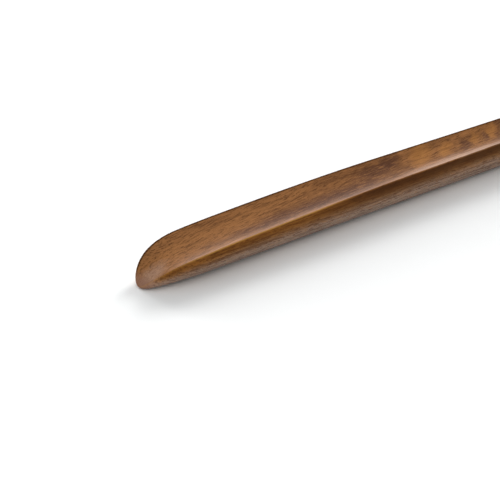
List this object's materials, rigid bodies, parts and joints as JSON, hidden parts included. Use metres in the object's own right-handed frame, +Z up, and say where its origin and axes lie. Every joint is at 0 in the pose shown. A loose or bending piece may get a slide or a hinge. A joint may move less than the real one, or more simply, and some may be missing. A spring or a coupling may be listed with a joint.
{
  "type": "long shoehorn",
  "caption": "Long one-piece walnut shoehorn with a shallow trough, an elliptical belly, a rounded blade and a brass-lined hanging hole.",
  "frame": {"origin": "on the resting plane, under the middle of the length and the middle of the blade's width", "axes": "+X from the blade's tip to the handle's end, +Z up out of the trough; the part is a mirror image of itself about the XZ plane"},
  "size_m": [0.58, 0.04, 0.024],
  "materials": {
    "walnut": "satin oiled walnut",
    "eyelet_brass": "polished, slightly worn"
  },
  "bodies": {
    "root": {"horn_body": "walnut", "eyelet_barrel": "eyelet_brass", "eyelet_washer": "eyelet_brass"}
  },
  "joints": []
}
